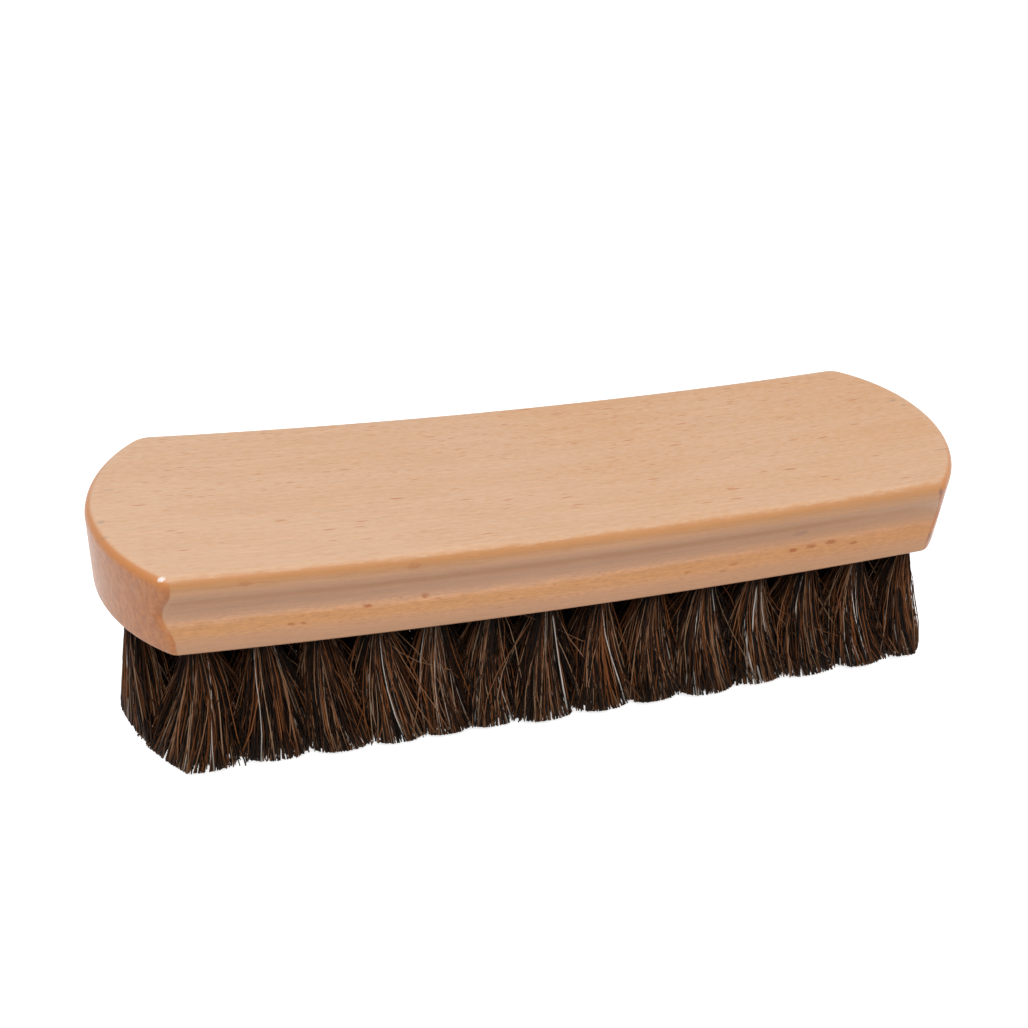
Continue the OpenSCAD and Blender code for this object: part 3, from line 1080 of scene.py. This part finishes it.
        # The trimmed tips follow a shallow dome along each tuft.
        off = (tip - middle) ** 2 @ (1.0, 0.15)
        dome = 0.3 if front and i == 1 else 1.0
        height = self.trim(end[:, 0]) * dome + np.minimum(self.dome * off, dome)
        height += np.abs(rng.normal(0, self.trim_rough, n))
        height += crossing * rng.random(n) * self.crossing_lift + loose * rng.random(n) * self.loose_lift
        reach = (place[2] - height) / -out[2]

        # Each hair opens out from the hole, sways and waves a little on its way down.
        steps = np.array(self.steps)
        t = np.clip(steps, 0, 1)[None, :, None]
        opening = 0.56 + 0.18 * rng.random() + 0.6 * rng.random((n, 1, 1)) ** 2
        path = root[:, None, :] + (tip - root)[:, None, :] * (1 - (1 - t) ** opening)
        swing = (0.45 + 0.55 * crossing + 0.9 * loose)[:, None] * rng.normal(0, 1, (n, 2))
        swing[:, 0] += sway
        path = path + swing[:, None, :] * np.sin(t * math.pi)
        wave = (0.22 + 0.18 * crossing)[:, None] * rng.normal(0, 1, (n, 2))
        path = path + wave[:, None, :] * np.sin(t * math.tau)
        down = np.where(steps < 0, steps, reach[:, None] * t[..., 0])

        # Outer hairs stay behind straight lines from the holes to the brush's edges.
        fall = np.clip(down / self.hair_len, 0, 1)
        if front:
            face = -self.bundle_out - (before - self.bundle_out) * fall ** self.front_bow
            path[..., 1] = np.maximum(path[..., 1], face)
        if at_end:
            way = -1 if i == 1 else 1
            widest = (self.foot(end) - abs(place[0]) - self.hair_len * abs(out[0]))[:, None]
            start = self.bundle_out + way * np.clip(sway, *self.end_sway)
            path[..., 0] = way * np.minimum(way * path[..., 0], start + (widest - start) * fall)
        points = place + path[..., :1] * right + path[..., 1:] * back + down[..., None] * out
        # A splayed tuft's inner tips hang lower than its middle, and are trimmed off above the floor.
        points[..., 2] = np.maximum(points[..., 2], self.clear)

        # White hairs are few, thicker, and only where they show.
        tone = rng.random(n)
        if i == 1:
            tone **= self.first_tone
        white = rng.random(n) < self.white_share * (1 + place[0] / self.white_run)
        tone = np.where(white, np.maximum(tone, self.white_tone), tone)
        facing = -np.sin(turn) if front else np.sin(turn) if rear else np.abs(np.cos(turn))
        hidden = loose | crossing | (facing < 0.35) | (u < 0.55)
        tone = np.where(hidden & (tone > 0.95), tone - 0.1, tone)
        radius = self.hair_r * (self.thinnest + self.thicker * rng.random(n))
        radius = radius * np.where(tone > 0.96, self.white_r, 1.0) * np.where(loose, self.loose_r, 1.0)

        # Light hardly reaches the inner rows, so their upper halves are drawn darker.
        shown = row.outer or at_end
        painted_shade = np.interp(steps, (0.4, 0.85), (1.0 if shown else self.inner_shade, 1.0))
        return points, radius, tone[:, None] * painted_shade

    def weave(self, drawn: list[Hairs]) -> Object:
        """Turns drawn hairs into one mesh of closed three-sided strands.

        Args:
            drawn: The hairs of one or more tufts.

        Returns:
            The new object.
        """
        points, radius, tone = (np.concatenate(parts) for parts in zip(*drawn))
        n, steps = points.shape[:2]
        along = points[:, -1] - points[:, 2]
        along /= np.linalg.norm(along, axis=1)[:, None]
        side = np.cross(along, (0.0, 1.0, 0.0))
        side /= np.linalg.norm(side, axis=1)[:, None]
        up = np.cross(side, along)
        width = radius[:, None] * np.interp(np.arange(steps), (0, steps * 0.6, steps - 1), self.taper)
        phase = (np.arange(n) * GOLDEN_ANGLE)[:, None]
        verts = np.empty((n, steps, 3, 3))
        for k in range(3):
            a = phase + math.tau * k / 3
            turned = np.cos(a) * side + np.sin(a) * up
            verts[:, :, k] = points + width[..., None] * turned[:, None, :]

        first = np.arange(n) * steps * 3
        last = first + (steps - 1) * 3
        ring = first[:, None, None] + (np.arange(steps - 1) * 3)[None, :, None]
        k = np.arange(3)[None, None, :]
        m = (k + 1) % 3
        quads = np.stack([ring + k, ring + 3 + k, ring + 3 + m, ring + m], -1).reshape(-1, 4)
        ends = np.stack([first, first + 1, first + 2], 1), np.stack([last + 2, last + 1, last], 1)
        caps = np.concatenate(ends)
        sizes = np.concatenate([np.full(len(quads), 4), np.full(len(caps), 3)])
        mesh = bpy.data.meshes.new("hair")
        mesh.vertices.add(verts.size // 3)
        mesh.vertices.foreach_set("co", (verts * MM).ravel())
        mesh.loops.add(quads.size + caps.size)
        mesh.loops.foreach_set("vertex_index", np.concatenate([quads.ravel(), caps.ravel()]))
        mesh.polygons.add(len(sizes))
        mesh.polygons.foreach_set("loop_start", np.concatenate([[0], np.cumsum(sizes)[:-1]]))
        mesh.polygons.foreach_set("loop_total", sizes)
        mesh.polygons.foreach_set("use_smooth", sizes == 4)
        mesh.update(calc_edges=True)
        mesh.validate()
        per_step = {"tone": tone.ravel(), "along": np.tile(np.clip(self.steps, 0.0, 1.0), n)}
        for label, values in per_step.items():
            values = np.repeat(values, 3).astype(np.float32)
            mesh.attributes.new(label, "FLOAT", "POINT").data.foreach_set("value", values)
        piece = bpy.data.objects.new("hair", mesh)
        bpy.context.scene.collection.objects.link(piece)
        return piece

    def build(self, material: Material) -> None:
        """Builds every tuft, in the same pieces as the solids."""
        for row in Row:
            for first, last in self.drilling.spans(row):
                piece = self.weave([self.strands(row, i) for i in range(first, last + 1)])
                kind, which = "tuft", f"_r{row.value}_{first:02d}"
                if last > first:
                    kind, which = "tufts", f"{which}_{last:02d}"
                settle(piece, "hair" + which, material, [kind + which])


@dataclass
class Studio:
    """The pale floor, the soft light and the camera. Sizes are in metres and degrees."""

    place: Triple = (-0.073212, -0.200621, 0.177403)
    yaw: float = 18.692
    pitch: float = 34.912
    roll: float = 4.064
    lens: float = 45.933
    sensor: float = 36.0
    clip: tuple[float, float] = (0.01, 20.0)
    floor_side: float = 6.0
    floor_lit: Colour = (0.45, 0.45, 0.45)
    floor_seen: Colour = (0.80, 0.80, 0.80)
    floor_glow: float = 0.74
    floor_roughness: float = 0.9
    floor_specular: float = 0.1
    room_light: float = 0.38
    aim: Triple = (0.0, 0.0, 0.02)

    def camera(self) -> None:
        """Sets the camera at the photograph's place and angle."""
        yaw, pitch, roll = (math.radians(a) for a in (self.yaw, self.pitch, self.roll))
        ahead = Vector((math.sin(yaw) * math.cos(pitch), math.cos(yaw) * math.cos(pitch), -math.sin(pitch)))
        level = Vector((math.cos(yaw), -math.sin(yaw), 0.0))
        rise = level.cross(ahead)
        right = math.cos(roll) * level + math.sin(roll) * rise
        up = math.cos(roll) * rise - math.sin(roll) * level
        data = bpy.data.cameras.new("camera")
        data.lens, data.sensor_width = self.lens, self.sensor
        data.clip_start, data.clip_end = self.clip
        camera = bpy.data.objects.new("camera", data)
        turn = Matrix((right, up, -ahead)).transposed().to_4x4()
        camera.matrix_world = Matrix.Translation(self.place) @ turn
        bpy.context.scene.collection.objects.link(camera)
        bpy.context.scene.camera = camera

    def lamp(self, name: str, at: Triple, size: float, power: float) -> None:
        """Adds one soft box.

        Args:
            name: Its name.
            at: Its place.
            size: Its width and height.
            power: Its power in watts.
        """
        data = bpy.data.lights.new(name, "AREA")
        data.shape, data.size, data.energy = "SQUARE", size, power
        lamp = bpy.data.objects.new(name, data)
        lamp.location = at
        lamp.rotation_euler = (Vector(self.aim) - Vector(at)).to_track_quat("-Z", "Y").to_euler()
        bpy.context.scene.collection.objects.link(lamp)

    def seen_white(self, w: NodeWriter) -> Socket:
        """One where a ray comes from the camera, a mirror or glass."""
        path = w.add("LightPath").outputs
        seen = w.math("MAXIMUM", path["Is Camera Ray"], path["Is Glossy Ray"])
        return w.math("MAXIMUM", seen, path["Is Transmission Ray"])

    def world(self) -> None:
        """Lights the room evenly, and shows it white."""
        world = bpy.data.worlds.new("room")
        world.use_nodes = True
        bpy.context.scene.world = world
        w = NodeWriter(world.node_tree)
        strength = w.between(self.seen_white(w), self.room_light, 1.0)
        w.fill(world.node_tree.nodes["Background"], {"Color": (1.0, 1.0, 1.0), "Strength": strength})

    def floor(self) -> None:
        """Lays the pale floor."""
        deselect()
        bpy.ops.mesh.primitive_plane_add(size=self.floor_side, location=(0.0, 0.0, 0.0))
        floor = bpy.context.object
        floor.name = "floor"
        material, w, shader = new_material("pale_floor")
        seen = self.seen_white(w)
        w.fill(shader, {
            "Base Color": w.mix(seen, self.floor_lit, self.floor_seen),
            "Roughness": self.floor_roughness,
            "Specular IOR Level": self.floor_specular,
            "Emission Color": (1.0, 1.0, 1.0),
            "Emission Strength": w.times(seen, self.floor_glow),
        })
        floor.data.materials.append(material)

    def build(self) -> None:
        """Sets the stage."""
        self.camera()
        self.world()
        self.floor()
        self.lamp("key", (-0.25, -0.45, 0.95), 0.7, 7.5)
        self.lamp("fill", (0.55, -0.35, 0.45), 0.6, 0.9)
        bpy.context.scene.view_settings.view_transform = "Standard"


def main() -> None:
    """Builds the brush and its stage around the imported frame."""
    logging.basicConfig(level=logging.INFO, format="%(message)s")
    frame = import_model()
    drilling = Drilling()
    Studio().build()
    Block(drilling).build(BeechFinish().build())
    Tufts(drilling).build(HorsehairFinish().build())
    staples = frame["nodes"]["staples"]
    staples.data.materials.clear()
    staples.data.materials.append(StapleFinish().build())


if __name__ == "__main__":
    main()
